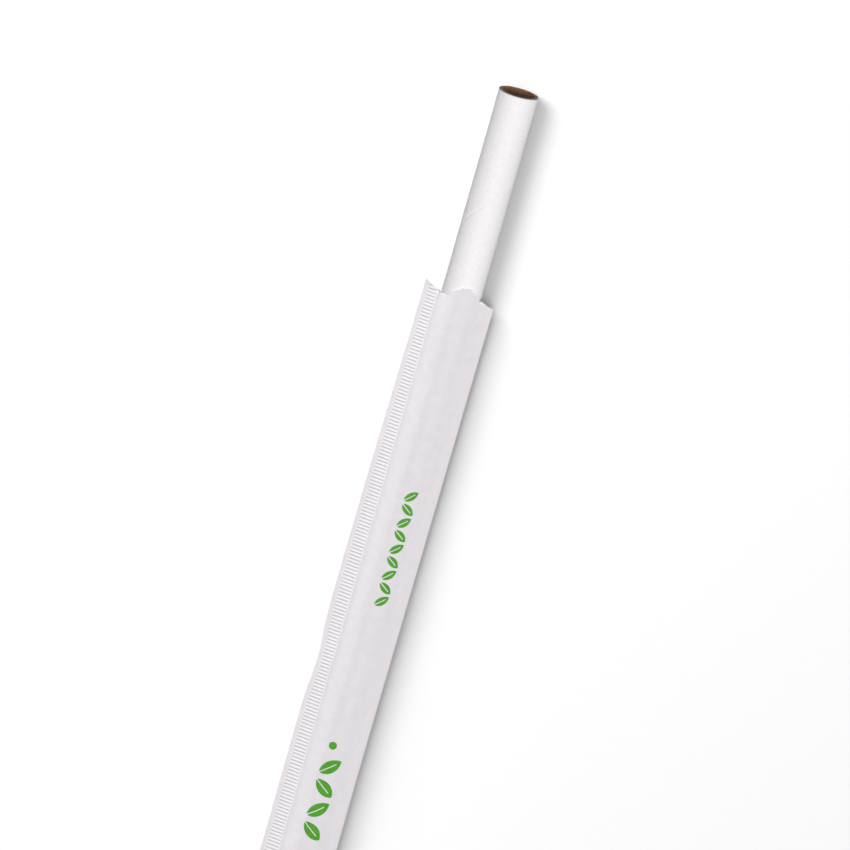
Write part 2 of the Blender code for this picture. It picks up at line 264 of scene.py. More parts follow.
def add_tooth(tree, shader, place, scale, distance):
    """The fine tooth of uncoated paper, as bump, drawn out along the straw."""
    bump = tree.nodes.new("ShaderNodeBump")
    bump.inputs["Strength"].default_value = 0.5
    bump.inputs["Distance"].default_value = distance
    drawn_out = (1.0, 0.5, 1.0)
    tooth = add_noise(tree, place, scale, detail=5.0, low=0.25, high=0.75, stretch=drawn_out)
    tree.links.new(tooth, bump.inputs["Height"])
    tree.links.new(bump.outputs["Normal"], shader.inputs["Normal"])


def make_piece(name, shape, material, sharp=40.0):
    """The finished shape as an object at the origin, smooth up to its sharp edges."""
    bmesh.ops.recalc_face_normals(shape, faces=shape.faces)
    mesh = bpy.data.meshes.new(name)
    shape.to_mesh(mesh)
    shape.free()
    mesh.materials.append(material)
    mesh.shade_smooth()
    mesh.set_sharp_from_angle(angle=math.radians(sharp))
    piece = bpy.data.objects.new(name, mesh)
    bpy.context.scene.collection.objects.link(piece)
    return piece


def pressed(turned):
    """How deep the seams press in at this share of the way from one crossing to the next."""
    share = turned % 1.0
    outer = min(share, 1.0 - share) * SEAM_PITCH / SEAM_WIDTH
    inner = abs(share - 0.5) * SEAM_PITCH / INNER_SEAM_WIDTH
    return SEAM_DEPTH * math.exp(-outer * outer) + INNER_SEAM_DEPTH * math.exp(-inner * inner)


def straw_point(side, y, inset=0.0):
    """A point of the tube's outer face. Sides count from the top towards +X."""
    angle = math.tau * side / STRAW_SIDES
    turned = (y - MOUTH_Y + SEAM_CROSSING) / SEAM_PITCH - side / STRAW_SIDES
    radius = STRAW_RADIUS - inset - (pressed(turned) if inset == 0.0 else 0.0)
    return (AXIS_X + radius * math.sin(angle), y, AXIS_Z + radius * math.cos(angle))


def add_face(shape, corners):
    """A face through the corners that differ, if at least three do."""
    distinct = []
    for corner in corners:
        if corner not in distinct:
            distinct.append(corner)
    if len(distinct) > 2:
        shape.faces.new(distinct)


straw_white, tree, shader = new_material("straw_white", roughness=0.62, specular=0.35)
place = tree.nodes.new("ShaderNodeTexCoord").outputs["Object"]
ply = tree.nodes.new("ShaderNodeAttribute")
ply.attribute_name = "ply"
ply_parts = tree.nodes.new("ShaderNodeSeparateXYZ")
tree.links.new(ply.outputs["Vector"], ply_parts.inputs["Vector"])
mottle = add_noise(tree, place, 3200.0, low=0.3, high=0.7)
bleached = add_mix(tree, mottle, *BLEACHED)
grain = add_noise(tree, place, 900.0, stretch=(1.0, 0.3, 1.0))
kraft = add_mix(tree, grain, *KRAFT)
# The cut ends' dark colour
dark_end_tone = add_mix(tree, add_noise(tree, place, 3000.0), *DARK_END_TONES)
colour = add_mix(tree, ply_parts.outputs["X"], bleached, kraft)
colour = add_mix(tree, ply_parts.outputs["Y"], colour, dark_end_tone)
tree.links.new(colour, shader.inputs["Base Color"])
add_tooth(tree, shader, place, 5200.0, 0.000018)

shares = [share for row in SEAM_ROWS for share in (row, 1.0 - row)] + [0.5]
shares = sorted(set(round(share % 1.0, 5) for share in shares))
turns_down = math.ceil((MOUTH_Y - TAIL_Y - SEAM_CROSSING) / SEAM_PITCH) + 1
climbs = [turn_number + share for turn_number in range(-turns_down, 2) for share in shares]
shape = bmesh.new()
ply_layer = shape.verts.layers.float_vector.new("ply")
top_y = MOUTH_Y - END_RINGS[0]
low_y = TAIL_Y + END_RINGS[0]
columns = []
for side in range(STRAW_SIDES):
    column = []
    last_y = None
    for climb in climbs:
        y = MOUTH_Y - SEAM_CROSSING + SEAM_PITCH * (climb + side / STRAW_SIDES)
        y = min(max(y, low_y), top_y)
        if y == last_y:
            column.append(column[-1])
        else:
            column.append(shape.verts.new(straw_point(side, y)))
        last_y = y
    columns.append(column)
for side in range(STRAW_SIDES):
    here = columns[side]
    last = side == STRAW_SIDES - 1
    beside = columns[0][len(shares) :] if last else columns[side + 1]
    for row in range(min(len(here), len(beside)) - 1):
        add_face(shape, (here[row], beside[row], beside[row + 1], here[row + 1]))


def add_ring(previous, points, plies):
    """One more ring of the tube, joined to the ring before it."""
    ring = []
    for point, ply_share in zip(points, plies):
        vertex = shape.verts.new(point)
        vertex[ply_layer] = ply_share
        ring.append(vertex)
    for side in range(STRAW_SIDES):
        after = (side + 1) % STRAW_SIDES
        shape.faces.new((previous[side], previous[after], ring[after], ring[side]))
    return ring


def finish_end(ring, end_y, inward, dark):
    """From the outer face over the cut edge into the bore. The dark colour is darkest on top."""
    sides = range(STRAW_SIDES)
    low = [(1 - math.cos(math.tau * side / STRAW_SIDES)) / 2 for side in sides]
    cut = [END_BACK + END_SLANT * share for share in low]
    # The outer face just below each cut end is coloured dark too, darkest on top
    for below in END_RINGS[1:]:
        end_darkness = dark * max(0.0, 1.0 - below / DARK_END_LENGTH) ** 0.5
        points = [straw_point(side, end_y + inward * (below + cut[side])) for side in sides]
        ring = add_ring(ring, points, [(0.0, end_darkness, 0.0)] * STRAW_SIDES)
    for inset, below in RIM:
        points = []
        for side in sides:
            ragged = noise.noise(Vector((side * 0.45, inset * 9000, 3.0)))
            y = end_y + inward * (below + cut[side] + RIM_ROUGHNESS * (0.5 + 0.5 * ragged))
            points.append(straw_point(side, y, inset))
        core = RIM_BROWN if inset > STRAW_WALL * CORE_START else 0.0
        plies = [
            (max(core, min(1.0, RIM_TURN * share)), dark * (1.0 - share), 0.0) for share in low
        ]
        ring = add_ring(ring, points, plies)
    for below in BORE_RINGS:
        points = [
            straw_point(side, end_y + inward * (below + cut[side]), STRAW_WALL) for side in sides
        ]
        ring = add_ring(ring, points, [(1.0, 0.0, 0.0)] * STRAW_SIDES)
    return ring


ring = finish_end([column[-1] for column in columns], MOUTH_Y, -1.0, 1.0)
end_ring = finish_end([column[0] for column in columns], TAIL_Y, 1.0, 0.6)
for side in range(STRAW_SIDES):
    after = (side + 1) % STRAW_SIDES
    shape.faces.new((ring[side], ring[after], end_ring[after], end_ring[side]))
straw = make_piece("straw_tube", shape, straw_white)
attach(straw, "root")
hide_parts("straw")
straw_group.objects.link(straw)
shadow_group.objects.link(straw)

# The wrapper's sheet
# One sheet of thin white tissue paper, wrapped round the straw. It folds over in a pressed
# crease at the right, is held by its crimped edge at the left, and sinks flat towards its
# closed end. The other end is torn.
PAPER = 0.00008
HUG_RADIUS = AXIS_Z
FIN_RISE = 0.00055
FIN_TOP = FIN_RISE + 2 * PAPER
FIN_MIDDLE = FIN_RISE + PAPER
FOLD_WIDTH_TEAR = 0.00185
FOLD_WIDTH = 0.00143
FOLD_DRIFT_LENGTH = 0.0750
FOLD_LIP = 0.00013
FOLD_PULL = 0.0016  # how far the curve down to the fold keeps its direction at either end
FILLET = 0.00036
TUCK = 0.00040  # how far the sheet reaches into the crimped edge
TUCK_DEPTH = 0.00004
KEEL_LEFT = 0.00135
KEEL_RIGHT = 0.0023
KEEL_PULL = 0.0005  # how far the lower layer runs level before the crimped edge
LEAVE_ANGLE = 38.0  # where the upper layer leaves the straw, up from its right side
COLLAPSE_LENGTH = 0.0090
SEAL_LENGTH = 0.0052
TEAR_Y = WRAP_HIGH.y
END_Y = WRAP_LOW.y
SEAL_Y = END_Y + SEAL_LENGTH
SHEET_END_Y = SEAL_Y - 0.0012  # inside the crimped end
SLOW_WAVE = 0.00004  # the paper's own unevenness, in slow waves and in short ones
SHORT_WAVE = 0.000022
TISSUE = ((0.780, 0.752, 0.776), (0.860, 0.826, 0.852))
TISSUE_FIBRE = (0.800, 0.768, 0.793)
# Painted shade in the grooves and a painted highlight on the ridges; the torn edge is lighter for
# its loose fibres, with a painted highlight as well
PAINTED_LIGHT_TONES = (
    ("groove", (0.50, 0.49, 0.51)),
    ("ridge", (0.93, 0.92, 0.935)),
    ("torn", (0.985, 0.98, 0.985)),
)
# The torn line from the crimped edge to the fold, as the view shows it: across from the
# straw's axis, and down from the tear's highest point if it all lay at the axis's height
TEAR = (
    (-0.00640, 0.00070),
    (-0.00571, 0.00116),
    (-0.00450, 0.00196),
    (-0.00333, 0.00275),
    (-0.00276, 0.00272),
    (-0.00204, 0.00286),
    (-0.00176, 0.00254),
    (-0.00155, 0.00193),
    (-0.00112, 0.00165),
    (-0.00041, 0.00144),
    (-0.00017, 0.00129),
    (-0.00002, 0.00090),
    (0.00010, 0.00108),
    (0.00025, 0.00110),
    (0.00059, 0.00094),
    (0.00088, 0.00092),
    (0.00130, 0.00106),
    (0.00154, 0.00123),
    (0.00225, 0.00170),
    (0.00278, 0.00223),
    (0.00304, 0.00260),
    (0.00335, 0.00257),
    (0.00366, 0.00261),
    (0.00389, 0.00279),
    (0.00432, 0.00298),
    (0.00471, 0.00295),
    (0.00512, 0.00293),
    (0.00600, 0.00290),
)
CLING = 0.00020  # how much nearer to the straw the sheet lies at its tear
CLING_LENGTH = 0.0070
LOWER_TORN = 0.0009  # how much further down the lower layer is torn
RAGGED_LONG = 0.00007  # how far the torn line strays, in long and in short steps
RAGGED_SHORT = 0.00004
TORN_RISE = 0.00020  # how far the torn edge's feathered lip stands out
TORN_SINK = 0.00016  # and how far it bends in towards the straw
LIP_THINNESS = 0.25  # the lip's share of the paper's thickness
# Rows of points below the torn line, in millimetres
TEAR_ROWS = (0, 0.1, 0.2, 0.32, 0.46, 0.62, 0.8, 1.0, 1.25, 1.55, 1.9, 2.3, 2.75, 3.2, 3.7, 4.3)
BODY_ROW = 0.0008
COLLAPSE_ROW = 0.00045
SECTION_STEP = 0.0002
FOOT_POINTS = 8  # the section's points by the crimped edge and by the fold that no crease lifts
FOLD_POINTS = 5
# Soft creases: across and below the tear, half length, half width, turn from +Y, height
CREASES = (
    (0.0012, 0.012, 0.0040, 0.0005, 20, 0.00007),
    (-0.0020, 0.019, 0.0050, 0.0006, -14, -0.00008),
    (0.0030, 0.024, 0.0060, 0.0007, 12, 0.00010),
    (0.0008, 0.036, 0.0060, 0.0008, -22, -0.00006),
    (-0.0022, 0.0455, 0.0016, 0.0004, 62, -0.00010),
    (-0.0020, 0.0470, 0.0013, 0.0003, 50, 0.00009),
    (0.0033, 0.050, 0.0070, 0.0006, 8, 0.00009),
    (-0.0028, 0.0690, 0.0018, 0.0005, 35, 0.00013),
    (-0.0030, 0.0565, 0.0012, 0.0004, 70, 0.00010),
    (0.0028, 0.067, 0.0045, 0.0006, -16, -0.00007),
    (0.0005, 0.086, 0.0070, 0.0009, 15, 0.00007),
    (-0.0018, 0.101, 0.0060, 0.0007, -20, 0.00008),
    (0.0026, 0.113, 0.0070, 0.0006, 12, -0.00008),
    (0.0002, 0.1375, 0.0060, 0.0006, 4, 0.00030),
    (-0.0030, 0.1400, 0.0040, 0.0005, -14, 0.00020),
    (0.0038, 0.1405, 0.0045, 0.0005, 12, 0.00020),
)


def ease(share):
    """From 0 to 1, level at both ends."""
    share = min(max(share, 0.0), 1.0)
    return share * share * (3 - 2 * share)


def fullness(y):
    """1 where the sheet stands over the straw, 0 where it lies flat at the closed end."""
    return ease((y - SEAL_Y) / COLLAPSE_LENGTH)


def tear_y(across, height):
    """Where the torn edge is, this far across from the straw's axis and this high."""
    across = min(max(across, TEAR[0][0]), TEAR[-1][0])
    for (left, left_down), (right, right_down) in zip(TEAR, TEAR[1:]):
        if across <= right:
            share = (across - left) / (right - left)
            down = left_down + (right_down - left_down) * share
            return TEAR_Y - down + (height - AXIS_Z) * math.tan(LEAN_BACK)
    return TEAR_Y


def fold_reach(y):
    """From the straw's axis to the fold. The wrapper lies a little askew on the straw."""
    share = min(max((TEAR_Y - y) / FOLD_DRIFT_LENGTH, 0.0), 1.0)
    return HUG_RADIUS + FOLD_WIDTH_TEAR + (FOLD_WIDTH - FOLD_WIDTH_TEAR) * share


def stroke(start, end, steps):
    """Points from start to end, without the first."""
    return [
        tuple(a + (b - a) * step / steps for a, b in zip(start, end))
        for step in range(1, steps + 1)
    ]


def bend(middle, radius, start, end, steps):
    """Points along an arc, without the first. Angles in degrees from +X."""
    points = []
    for step in range(1, steps + 1):
        angle = math.radians(start + (end - start) * step / steps)
        points.append((middle[0] + radius * math.cos(angle), middle[1] + radius * math.sin(angle)))
    return points


def swing(start, first_pull, second_pull, end, steps):
    """Points along a curve from start to end, without the first."""
    points = []
    pulls = (start, first_pull, second_pull, end)
    for step in range(1, steps + 1):
        t = step / steps
        weights = ((1 - t) ** 3, 3 * t * (1 - t) ** 2, 3 * t * t * (1 - t), t**3)
        points.append(tuple(sum(w * p[i] for w, p in zip(weights, pulls)) for i in (0, 1)))
    return points


def upper_section(reach):
    """The upper layer's outer face, from the crimped edge over the straw to the fold."""
    root = -HUG_RADIUS - FILLET
    path = [(root - TUCK, FIN_TOP - TUCK_DEPTH)]
    path += stroke(path[-1], (root, FIN_TOP + 0.000004), 3)
    path += bend((root, FIN_TOP + FILLET), FILLET, -90, 0, 6)
    path += stroke(path[-1], (-HUG_RADIUS, AXIS_Z), 6)
    path += bend((0, AXIS_Z), HUG_RADIUS, 180, LEAVE_ANGLE, 60)
    angle = math.radians(LEAVE_ANGLE)
    x, z = path[-1]
    lip = (reach - FOLD_LIP, FIN_TOP + 0.00010)
    first_pull = (x + FOLD_PULL * math.sin(angle), z - FOLD_PULL * math.cos(angle))
    path += swing((x, z), first_pull, (lip[0] - 0.00002, FIN_TOP + FOLD_PULL), lip, 20)
    corner = (lip[0], FIN_TOP)
    path += swing(lip, corner, corner, (reach, FIN_MIDDLE + 0.00002), 4)
    return path


def lower_section(reach):
    """The lower layer's outer face, from the fold under the straw to the crimped edge."""
    root = -HUG_RADIUS - FILLET
    keel = (reach - KEEL_RIGHT, 0.0)
    path = swing(
        (reach, FIN_MIDDLE), (reach, FIN_RISE), (reach - KEEL_RIGHT * 0.55, 0.0), keel, 9
    )
    path += stroke(keel, (KEEL_LEFT - HUG_RADIUS, 0.0), 10)
    x, z = path[-1]
    foot = (root, FIN_RISE)
    path += swing((x, z), (x - KEEL_LEFT * 0.6, 0.0), (root + KEEL_PULL, FIN_RISE), foot, 8)
    path += stroke(path[-1], (root - TUCK, FIN_RISE + TUCK_DEPTH), 2)
    return path


def run_lengths(path):
    """How far along the path each of its points lies."""
    lengths = [0.0]
    for start, end in zip(path, path[1:]):
        lengths.append(lengths[-1] + math.dist(start, end))
    return lengths


def flattened(path, start, end, height):
    """The path's points laid out flat, each at its own share of the way from start to end."""
    lengths = run_lengths(path)
    return [(start + (end - start) * length / lengths[-1], height) for length in lengths]


full_upper = upper_section(fold_reach(SEAL_Y))
full_lower = lower_section(fold_reach(SEAL_Y))
FLAT_WIDTH = (run_lengths(full_upper)[-1] + run_lengths(full_lower)[-1]) / 2 - TUCK
FIN_SPREAD = (FLAT_WIDTH - fold_reach(SEAL_Y) - HUG_RADIUS - FILLET) / 2
FLAT_FOOT = -HUG_RADIUS - FILLET - FIN_SPREAD
FLAT_FOLD = fold_reach(SEAL_Y) + FIN_SPREAD


def crease_lift(across, y):
    """How far the soft creases and the paper's slow waves lift the sheet off the straw."""
    down = TEAR_Y - y
    lift = SLOW_WAVE * noise.noise(Vector((across * 260, down * 90, 1.7)))
    lift -= CLING * ease(1.0 - down / CLING_LENGTH)
    lift += SHORT_WAVE * noise.noise(Vector((across * 600, down * 320, 8.1)))
    for middle, below, length, width, turned, height in CREASES:
        angle = math.radians(turned)
        along = (down - below) * math.cos(angle) + (across - middle) * math.sin(angle)
        aside = (across - middle) * math.cos(angle) - (down - below) * math.sin(angle)
        reach = (along / length) ** 2 + (aside / width) ** 2
        if reach < 9:
            lift += height * math.exp(-reach)
    return lift


def sheet_section(y):
    """The sheet's outer face at y, with its creases, as points across and up."""
    reach = fold_reach(y)
    upper, lower = upper_section(reach), lower_section(reach)
    share = fullness(y)
    if share < 1.0:
        tuck = 0.00003 if y < SEAL_Y else 0.0
        flat = flattened(upper, FLAT_FOOT - TUCK, FLAT_FOLD, FIN_TOP - tuck)
        under = flattened([upper[-1]] + lower, FLAT_FOLD, FLAT_FOOT - TUCK, FIN_RISE + tuck)[1:]
        upper = [tuple(f + (u - f) * share for f, u in zip(a, b)) for a, b in zip(flat, upper)]
        lower = [tuple(f + (u - f) * share for f, u in zip(a, b)) for a, b in zip(under, lower)]
    path = list(upper)
    count = len(upper)
    for i in range(FOOT_POINTS, count - FOLD_POINTS):
        (x0, z0), (x1, z1) = upper[i - 1], upper[i + 1]
        run = math.hypot(x1 - x0, z1 - z0)
        lift = crease_lift(upper[i][0], y) * ease(share * 3)
        lift *= ease((i - FOOT_POINTS) / 12) * ease((count - FOLD_POINTS - i) / 10)
        path[i] = (upper[i][0] - (z1 - z0) / run * lift, upper[i][1] + (x1 - x0) / run * lift)
    return path + lower


wrapper_white, tree, shader = new_material("wrapper_white", roughness=0.8, specular=0.2)
place = tree.nodes.new("ShaderNodeTexCoord").outputs["Object"]
cloud = add_noise(tree, place, 800.0, detail=5.0, low=0.3, high=0.7)
fibre = add_noise(tree, place, 3600.0, detail=3.0, low=0.3, high=0.75, stretch=(1.0, 0.35, 1.0))
paper_tone = add_mix(tree, cloud, *TISSUE)
paper_tone = add_mix(tree, fibre, TISSUE_FIBRE, paper_tone)
# Painted shade and painted highlight laid over the paper's tone, by the attributes below
for label, tone in PAINTED_LIGHT_TONES:
    reader = tree.nodes.new("ShaderNodeAttribute")
    reader.attribute_name = label
    paper_tone = add_mix(tree, reader.outputs["Fac"], paper_tone, tone)
tree.links.new(paper_tone, shader.inputs["Base Color"])
add_tooth(tree, shader, place, 4200.0, 0.000016)

tear_rows = [down / 1000 for down in TEAR_ROWS]
while TEAR_Y - tear_rows[-1] > SEAL_Y + COLLAPSE_LENGTH:
    tear_rows.append(tear_rows[-1] + BODY_ROW)
while TEAR_Y - tear_rows[-1] > SEAL_Y + COLLAPSE_ROW:
    tear_rows.append(tear_rows[-1] + COLLAPSE_ROW)
tear_rows += [TEAR_Y - SEAL_Y, TEAR_Y - SEAL_Y + 0.0002, TEAR_Y - SHEET_END_Y]
starts = []  # where each column of the sheet begins, at the tear
for i, (across, rise) in enumerate(sheet_section(TEAR_Y)):
    ragged = RAGGED_LONG * noise.noise(Vector((i * 0.37, 2.3, 0.5)))
    ragged += RAGGED_SHORT * noise.noise(Vector((i * 1.1, 7.9, 0.5)))
    lower = ease((i - len(full_upper) + 2) / 3) * LOWER_TORN
    starts.append(tear_y(across, rise) + ragged - lower - TORN_RISE * 0.6)
sections = {}


def sheet_point(i, y):
    """The sheet's column i at y, between two sections worked out at whole steps."""
    low = math.floor(y / SECTION_STEP)
    share = y / SECTION_STEP - low
    for key in (low, low + 1):
        if key not in sections:
            sections[key] = sheet_section(key * SECTION_STEP)
    x, z = (a + (b - a) * share for a, b in zip(sections[low][i], sections[low + 1][i]))
    return (AXIS_X + x, y, z)


shape = bmesh.new()
torn_layer = shape.verts.layers.float.new("torn")
lip = []
for i, start in enumerate(starts):
    x, y, z = sheet_point(i, start)
    inward = Vector((AXIS_X - x, 0.0, AXIS_Z - z)).normalized() * TORN_SINK
    out = TORN_RISE * (0.75 + 0.6 * noise.noise(Vector((i * 0.8, 5.2, 0.5))))
    vertex = shape.verts.new((x + inward.x, y + out, z + inward.z))
    lip.append(vertex)
grid = [lip]
for down in tear_rows:
    row = []
    for i, start in enumerate(starts):
        y = start - down * (start - SHEET_END_Y) / (TEAR_Y - SHEET_END_Y)
        row.append(shape.verts.new(sheet_point(i, y)))
    grid.append(row)
for above_row, below_row in zip(grid, grid[1:]):
    for i in range(len(above_row) - 1):
        shape.faces.new((above_row[i], below_row[i], below_row[i + 1], above_row[i + 1]))
# The torn rows are lighter: the loose fibres' own white, and a painted highlight along the edge
for vertex in grid[0] + grid[1]:
    vertex[torn_layer] = 1.0
torn_edge = [tuple(vertex.co) for vertex in lip]
sheet = make_piece("wrapper_sheet", shape, wrapper_white, sharp=50.0)
top_face = sheet.data.polygons[len(full_upper) // 2]
if top_face.normal.z < 0:
    sheet.data.flip_normals()
thick = sheet.modifiers.new("paper", "SOLIDIFY")
thick.thickness = PAPER
thick.offset = -1.0
fed = sheet.vertex_groups.new(name="thickness")
fed.add(range(len(sheet.data.vertices)), 1.0, "REPLACE")
fed.add(range(len(starts)), LIP_THINNESS, "REPLACE")
thick.vertex_group = fed.name
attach(sheet, "root")
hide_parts("wrapper")
paper_group.objects.link(sheet)
shadow_group.objects.link(sheet)
low_shadow_group.objects.link(sheet)

# The crimped edges
# Where the sheet's two cut edges meet at the left, and across its closed end, a toothed
# wheel has pressed both layers together into fine ridges, with a plain margin beside them.
FIN_WIDTH_TEAR = 0.00223
FIN_WIDTH = 0.00270
FIN_WIDEN_LENGTH = 0.0450
DENT_DEPTH = 0.00042
DENT_BELOW_TEAR = 0.0621
DENT_HALF_LENGTH = 0.0045
EDGE_WAVER = 0.00003  # how far the cut edges stray
TEAR_WAVER = 0.00005  # and how far the torn line does across them
TEAR_REACH = 0.0008  # how far above the sheet's tear the crimped edge may reach
STRIP_LAP = 0.00002  # how far a crimped strip and the sheet lie over each other
CRIMP_PITCH = 0.000536
CRIMP_MARGIN = 0.00050
CRIMP_FADE = 0.00018
CRIMP_HEIGHT = 0.00014
CRIMP_DROOP = math.tan(math.radians(2.0))
DROOP_GROWTH = 15.0  # how fast the droop grows towards the straw, for each metre
# Where rows of points stand between one groove and the next, and across the crimped edge
CRIMP_PHASES = (0.0, 0.10, 0.22, 0.5, 0.78, 0.90)
EDGE_COLUMNS = (0.0, 0.03, 0.12, 0.2, 0.25, 0.3, 0.38, 0.5, 0.62, 0.74, 0.84, 0.92, 1.0)
END_COLUMNS = 60
GROOVE_SHARPNESS = 1.7
SEAL_MARGIN = 0.00045
LAYER_STEP = 0.00012  # how far the lower layer's cut edge shows past the upper one's
RIDGES_Y = SEAL_Y - SEAL_MARGIN


def new_tree(name, sizes):
    """A geometry tree with a geometry input, the named sizes and a material."""
    tree = bpy.data.node_groups.new(name, "GeometryNodeTree")
    tree.interface.new_socket("Geometry", in_out="INPUT", socket_type="NodeSocketGeometry")
    identifiers = {}
    for label in sizes:
        socket = tree.interface.new_socket(label, in_out="INPUT", socket_type="NodeSocketFloat")
        identifiers[label] = socket.identifier
    paper = tree.interface.new_socket("Paper", in_out="INPUT", socket_type="NodeSocketMaterial")
    identifiers["Paper"] = paper.identifier
    tree.interface.new_socket("Geometry", in_out="OUTPUT", socket_type="NodeSocketGeometry")
    return tree, identifiers, tree.nodes.new("NodeGroupInput"), tree.nodes.new("NodeGroupOutput")


def end_tree(tree, start, end, made):
    """Ends a tree in real geometry with its material."""
    realize = tree.nodes.new("GeometryNodeRealizeInstances")
    coat = tree.nodes.new("GeometryNodeSetMaterial")
    tree.links.new(made, realize.inputs[0])
    tree.links.new(realize.outputs[0], coat.inputs["Geometry"])
    tree.links.new(start.outputs["Paper"], coat.inputs["Material"])
    tree.links.new(coat.outputs[0], end.inputs[0])


def add_math(tree, operation, *values):
    """A sum on numbers or on other nodes' outputs."""
    node = tree.nodes.new("ShaderNodeMath")
    node.operation = operation
    for socket, value in zip(node.inputs, values):
        if isinstance(value, (int, float)):
            socket.default_value = value
        else:
            tree.links.new(value, socket)
    return node.outputs[0]


def apply_nodes(piece, tree, values):
    """Runs a node tree on the piece's mesh and keeps the result as a plain mesh."""
    modifier = piece.modifiers.new("nodes", "NODES")
    modifier.node_group = tree
    for identifier, value in values.items():
        modifier[identifier] = value
    bpy.context.view_layer.update()
    graph = bpy.context.evaluated_depsgraph_get()
    mesh = bpy.data.meshes.new_from_object(piece.evaluated_get(graph))
    piece.modifiers.remove(modifier)
    old = piece.data
    name = old.name
    piece.data = mesh
    bpy.data.meshes.remove(old)
    mesh.name = name


# Each point moves up by how far its phase is from a groove. The grooves and the ridges are
# kept as attributes too, to paint shade into the grooves and a highlight onto the ridges.
ridge_nodes, ridge_inputs, start, end = new_tree("crimped_ridges", ("Height", "Sharpness"))
phase_read = ridge_nodes.nodes.new("GeometryNodeInputNamedAttribute")
phase_read.inputs["Name"].default_value = "phase"
press_read = ridge_nodes.nodes.new("GeometryNodeInputNamedAttribute")
press_read.inputs["Name"].default_value = "press"
wave = add_math(
    ridge_nodes, "COSINE", add_math(ridge_nodes, "MULTIPLY", phase_read.outputs[0], math.tau)
)
groove = add_math(ridge_nodes, "MULTIPLY_ADD", wave, 0.5, 0.5)
groove = add_math(ridge_nodes, "POWER", groove, start.outputs["Sharpness"])
rise = add_math(ridge_nodes, "SUBTRACT", 1.0, groove)
rise = add_math(ridge_nodes, "MULTIPLY", rise, start.outputs["Height"])
rise = add_math(ridge_nodes, "MULTIPLY", rise, press_read.outputs[0])
offset = ridge_nodes.nodes.new("ShaderNodeCombineXYZ")
ridge_nodes.links.new(rise, offset.inputs["Z"])
move = ridge_nodes.nodes.new("GeometryNodeSetPosition")
ridge_nodes.links.new(start.outputs["Geometry"], move.inputs["Geometry"])
ridge_nodes.links.new(offset.outputs[0], move.inputs["Offset"])
kept = move.outputs[0]
# How much painted shade a groove gets, and how much painted highlight a ridge gets
painted_groove_shade = add_math(ridge_nodes, "MULTIPLY", groove, press_read.outputs[0])
painted_ridge_highlight = add_math(ridge_nodes, "SUBTRACT", press_read.outputs[0], painted_groove_shade)
for label, value in (("groove", painted_groove_shade), ("ridge", painted_ridge_highlight)):
    store = ridge_nodes.nodes.new("GeometryNodeStoreNamedAttribute")
    store.inputs["Name"].default_value = label
    ridge_nodes.links.new(kept, store.inputs["Geometry"])
    ridge_nodes.links.new(value, store.inputs["Value"])
    kept = store.outputs[0]
end_tree(ridge_nodes, start, end, kept)
ridge_values = {
    ridge_inputs["Height"]: CRIMP_HEIGHT,
    ridge_inputs["Sharpness"]: GROOVE_SHARPNESS,
    ridge_inputs["Paper"]: wrapper_white,
}


def fin_edge(y):
    """Where the sheet's cut edges are at y, across from the straw's axis."""
    down = TEAR_Y - y
    width = FIN_WIDTH_TEAR + (FIN_WIDTH - FIN_WIDTH_TEAR) * ease(down / FIN_WIDEN_LENGTH)
    dent = DENT_DEPTH * math.exp(-(((down - DENT_BELOW_TEAR) / DENT_HALF_LENGTH) ** 2))
    waver = EDGE_WAVER * noise.noise(Vector((down * 180, 4.4, 0.5)))
    return dent + waver - width - HUG_RADIUS - FIN_SPREAD * (1 - fullness(y))


def ridge_strength(inside, beyond):
    """1 on the ridges, 0 on the margins. The distances are from the two margins' ends."""
    return ease(inside / CRIMP_FADE) * ease(beyond / CRIMP_FADE)


def crimped_strip(name, lines, ribbon, cut_at_tear):
    """Both pressed layers as one closed strip, a ring of points for each line across it."""
    shape = bmesh.new()
    phases = shape.verts.layers.float.new("phase")
    presses = shape.verts.layers.float.new("press")
    rings = []
    heights = []
    for line in lines:
        tops, bottoms = ribbon(line)
        ring = []
        ys = []
        for i, (x, droop, z, press) in enumerate(tops + bottoms[::-1]):
            y = line - droop
            if cut_at_tear:
                waver = TEAR_WAVER * noise.noise(Vector((x * 9000, 6.1, 0.5)))
                y = min(y, tear_y(x, z) + waver)
            if rings and abs(heights[i] - y) < 1e-9:
                ring.append(rings[-1][i])
            else:
                vertex = shape.verts.new((AXIS_X + x, y, z))
                vertex[phases] = (y + droop - RIDGES_Y) / CRIMP_PITCH
                vertex[presses] = press
                ring.append(vertex)
            ys.append(y)
        rings.append(ring)
        heights = ys
    count = len(rings[0])
    for before, after in zip(rings, rings[1:]):
        for i in range(count):
            j = (i + 1) % count
            add_face(shape, (before[i], before[j], after[j], after[i]))
    for ring in (rings[0], rings[-1]):
        for i in range(count // 2 - 1):
            add_face(shape, (ring[i], ring[i + 1], ring[count - 2 - i], ring[count - 1 - i]))
    return make_piece(name, shape, wrapper_white, sharp=60.0)


def edge_ribbon(y):
    """The crimped edge at y: upper and lower points with their droop and ridge strength."""
    edge = fin_edge(y)
    foot = -HUG_RADIUS - FIN_SPREAD * (1 - fullness(y))
    tops, bottoms = [], []
    for share in EDGE_COLUMNS:
        x = edge + (foot + STRIP_LAP - edge) * share
        press = ridge_strength(x - edge - CRIMP_MARGIN, foot - 0.00003 - x)
        droop = (x - edge) * (CRIMP_DROOP + DROOP_GROWTH * (x - edge))
        tops.append((x, droop, FIN_TOP, press))
        bottoms.append((x, droop, FIN_RISE, press))
    bottoms[0] = (edge - LAYER_STEP, 0.0, FIN_RISE, 0.0)
    tops.insert(0, (edge - LAYER_STEP, 0.0, FIN_MIDDLE, 0.0))
    tops.insert(1, (edge, 0.0, FIN_MIDDLE, 0.0))
    bottoms.insert(1, (edge, 0.0, FIN_RISE, 0.0))
    bottoms.insert(2, (edge + STRIP_LAP, 0.0, FIN_RISE, 0.0))
    return tops, bottoms


